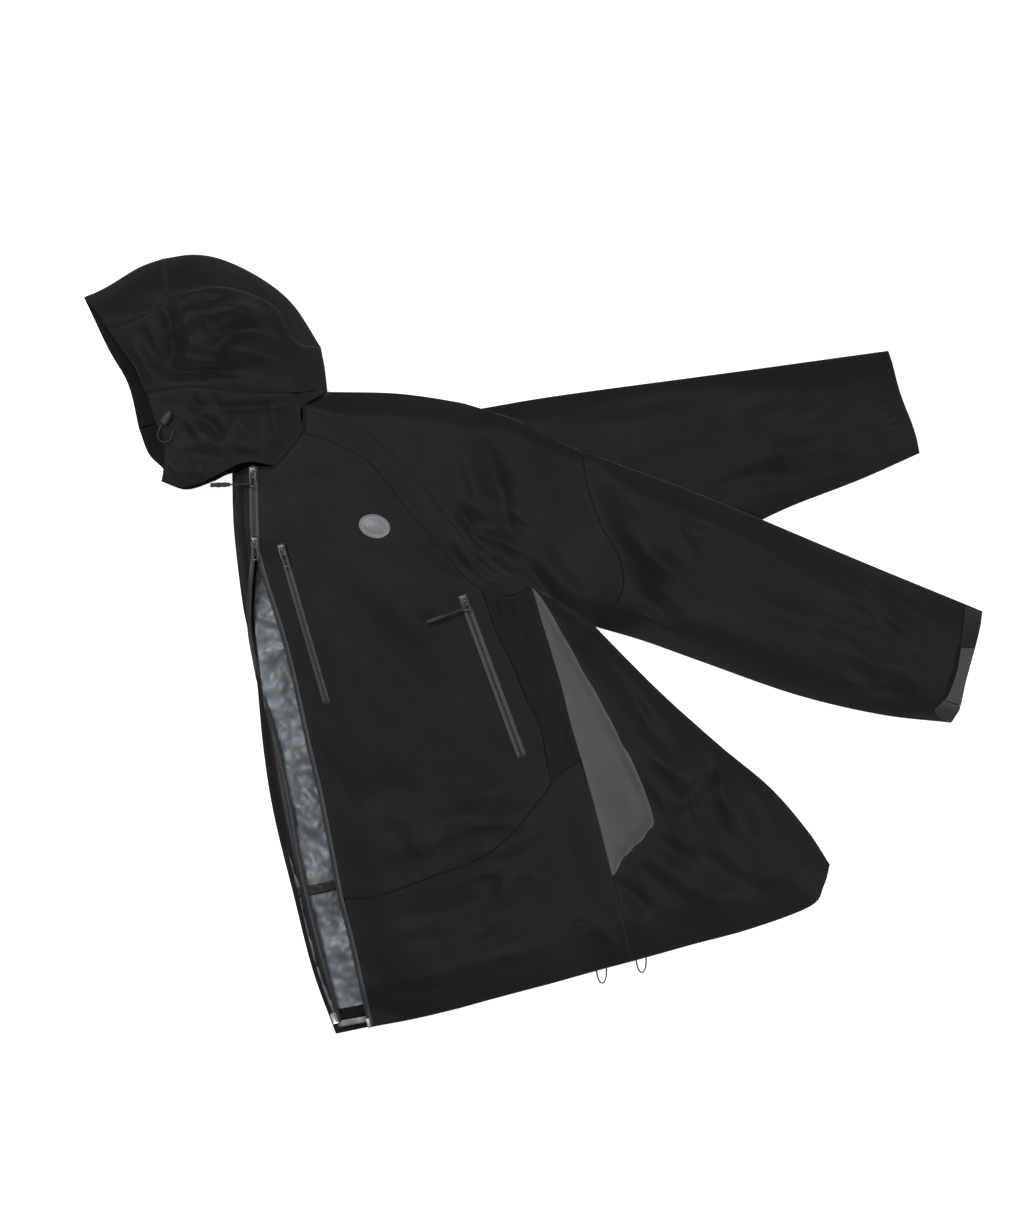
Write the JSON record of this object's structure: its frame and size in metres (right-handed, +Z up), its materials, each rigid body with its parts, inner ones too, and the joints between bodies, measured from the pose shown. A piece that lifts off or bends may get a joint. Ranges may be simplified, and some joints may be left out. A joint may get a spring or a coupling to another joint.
{
  "type": "hardshell jacket",
  "caption": "Hooded waterproof hardshell jacket laid flat, front part-unzipped, with two-way zip, pocket zips, side vent, cuff tab and adjustable hood.",
  "frame": {"origin": "on the ground under the middle of the jacket as it lies", "axes": "+Z up from the ground through the jacket, +Y towards the hood, +X towards the cuffs"},
  "size_m": [1.086, 0.942, 0.084],
  "materials": {
    "shell_fabric": "matt three-layer laminate with a fine plain weave",
    "silver_lining": "shiny silver-coated lining cloth",
    "grey_gusset": "brushed stretch fabric",
    "facing_tape": "smooth dark facing tape",
    "laminated_tape": "water-resistant laminated zip tape",
    "teeth": "moulded zip teeth",
    "zip_metal": "dark coated slider",
    "zip_end": "bright zip end piece",
    "cord": "braided cord",
    "grip": "moulded grip",
    "badge": "raised silicone badge",
    "pocket_mesh": "pocket cloth",
    "cuff_rubber": "moulded rubber",
    "loop_fabric": "loop strip",
    "hidden_snap": "covered snap",
    "trim_grey": "soft light grey trim",
    "lock_plastic": "moulded plastic"
  },
  "bodies": {
    "jacket": {"back_panel": "shell_fabric", "body_lining": "silver_lining", "front_panel_right": "shell_fabric", "right_front_facing": "facing_tape", "front_panel_left": "shell_fabric", "side_panel_left": "shell_fabric", "lower_front_panel_left": "shell_fabric", "vent_gusset": "grey_gusset", "back_side_panel": "shell_fabric", "yoke_band_left": "shell_fabric", "shoulder_panel_left": "shell_fabric", "seam_tape_band": "facing_tape", "hem_facing_back": "facing_tape", "hanger_loop": "facing_tape", "main_zip_tape_right": "laminated_tape", "main_zip_tape_left": "laminated_tape", "main_zip_teeth_right": "teeth", "main_zip_teeth_left": "teeth", "zip_insert_pin": "zip_end", "zip_retainer_box": "zip_end", "chest_zip_tape": "laminated_tape", "chest_zip_teeth": "teeth", "hand_zip_tape": "laminated_tape", "hand_zip_teeth": "teeth", "chest_pocket_bag": "pocket_mesh", "hand_pocket_bag": "pocket_mesh", "chest_badge": "badge", "hem_snaps": "hidden_snap", "hem_cord_loop_front": "cord", "hem_cord_loop_side": "cord", "hood_side_right": "shell_fabric", "hood_brim": "shell_fabric", "hood_crown": "shell_fabric", "hood_side_left": "shell_fabric", "hood_cord_lock": "lock_plastic", "hood_cord": "cord", "collar_right": "shell_fabric", "collar_left": "shell_fabric", "chin_guard": "trim_grey"},
    "left_sleeve": {"near_sleeve_upper": "shell_fabric", "near_sleeve_forearm": "shell_fabric", "near_cuff": "shell_fabric", "cuff_loop_strip": "loop_fabric"},
    "cuff_strap": {"cuff_tab": "cuff_rubber"},
    "right_sleeve": {"far_sleeve_upper": "shell_fabric", "far_sleeve_forearm": "shell_fabric", "far_cuff": "shell_fabric"},
    "upper_slider": {"main_slider_upper": "zip_metal"},
    "upper_pull": {"main_pull_upper": "zip_metal", "main_pull_cord": "cord", "main_pull_grip": "grip"},
    "lower_slider": {"main_slider_lower": "zip_metal"},
    "lower_pull": {"main_pull_lower": "zip_metal"},
    "chest_zip_slider": {"chest_slider": "zip_metal"},
    "chest_zip_pull": {"chest_pull": "zip_metal"},
    "hand_zip_slider": {"hand_slider": "zip_metal"},
    "hand_zip_pull": {"hand_pull": "zip_metal", "hand_pull_cord": "cord", "hand_pull_grip": "grip"},
    "lock_button": {"hood_lock_button": "lock_plastic"}
  },
  "joints": [
    {"name": "left_sleeve_swing", "type": "hinge", "parent": "jacket", "child": "left_sleeve", "pos_m": [0.08, 0.122, 0.065], "axis": [0, 0, 1], "range_deg": [-12, 4]},
    {"name": "cuff_tab_lift", "type": "hinge", "parent": "left_sleeve", "child": "cuff_strap", "pos_m": [0.49531, -0.06758, 0.0398], "axis": [0.9483, -0.3173, 0], "range_deg": [0, 110]},
    {"name": "right_sleeve_swing", "type": "hinge", "parent": "jacket", "child": "right_sleeve", "pos_m": [0.05, 0.179, 0.019], "axis": [0, 0, 1], "range_deg": [-3, 12]},
    {"name": "main_upper_slide", "type": "slide", "parent": "jacket", "child": "upper_slider", "axis": [0.0294, -0.9996, 0], "range_m": [0, 0.02]},
    {"name": "main_upper_pull_flip", "type": "hinge", "parent": "upper_slider", "child": "upper_pull", "pos_m": [-0.3369, 0.206, 0.05], "axis": [-0.9996, -0.0294, 0], "range_deg": [0, 80]},
    {"name": "main_lower_slide", "type": "slide", "parent": "jacket", "child": "lower_slider", "axis": [-0.0294, 0.9996, 0], "range_m": [0, 0.014]},
    {"name": "main_lower_pull_flip", "type": "hinge", "parent": "lower_slider", "child": "lower_pull", "pos_m": [-0.3346, 0.122, 0.05], "axis": [-0.9996, -0.0294, 0], "range_deg": [0, 165]},
    {"name": "chest_zip_slide", "type": "slide", "parent": "jacket", "child": "chest_zip_slider", "axis": [0.2754, -0.9613, 0], "range_m": [0, 0.175]},
    {"name": "chest_pull_flip", "type": "hinge", "parent": "chest_zip_slider", "child": "chest_zip_pull", "pos_m": [-0.3018, 0.11331, 0.05], "axis": [-0.9613, -0.2754, 0], "range_deg": [0, 165]},
    {"name": "hand_zip_slide", "type": "slide", "parent": "jacket", "child": "hand_zip_slider", "axis": [0.3464, -0.9381, 0], "range_m": [0, 0.183]},
    {"name": "hand_pull_flip", "type": "hinge", "parent": "hand_zip_slider", "child": "hand_zip_pull", "pos_m": [-0.08323, 0.0525, 0.05], "axis": [-0.9381, -0.3464, 0], "range_deg": [0, 150]},
    {"name": "hood_lock_press", "type": "slide", "parent": "jacket", "child": "lock_button", "axis": [-0.5524, -0.8336, 0], "range_m": [0, 0.0025], "stiffness_N_per_m": 300, "springref_m": -0.002}
  ]
}
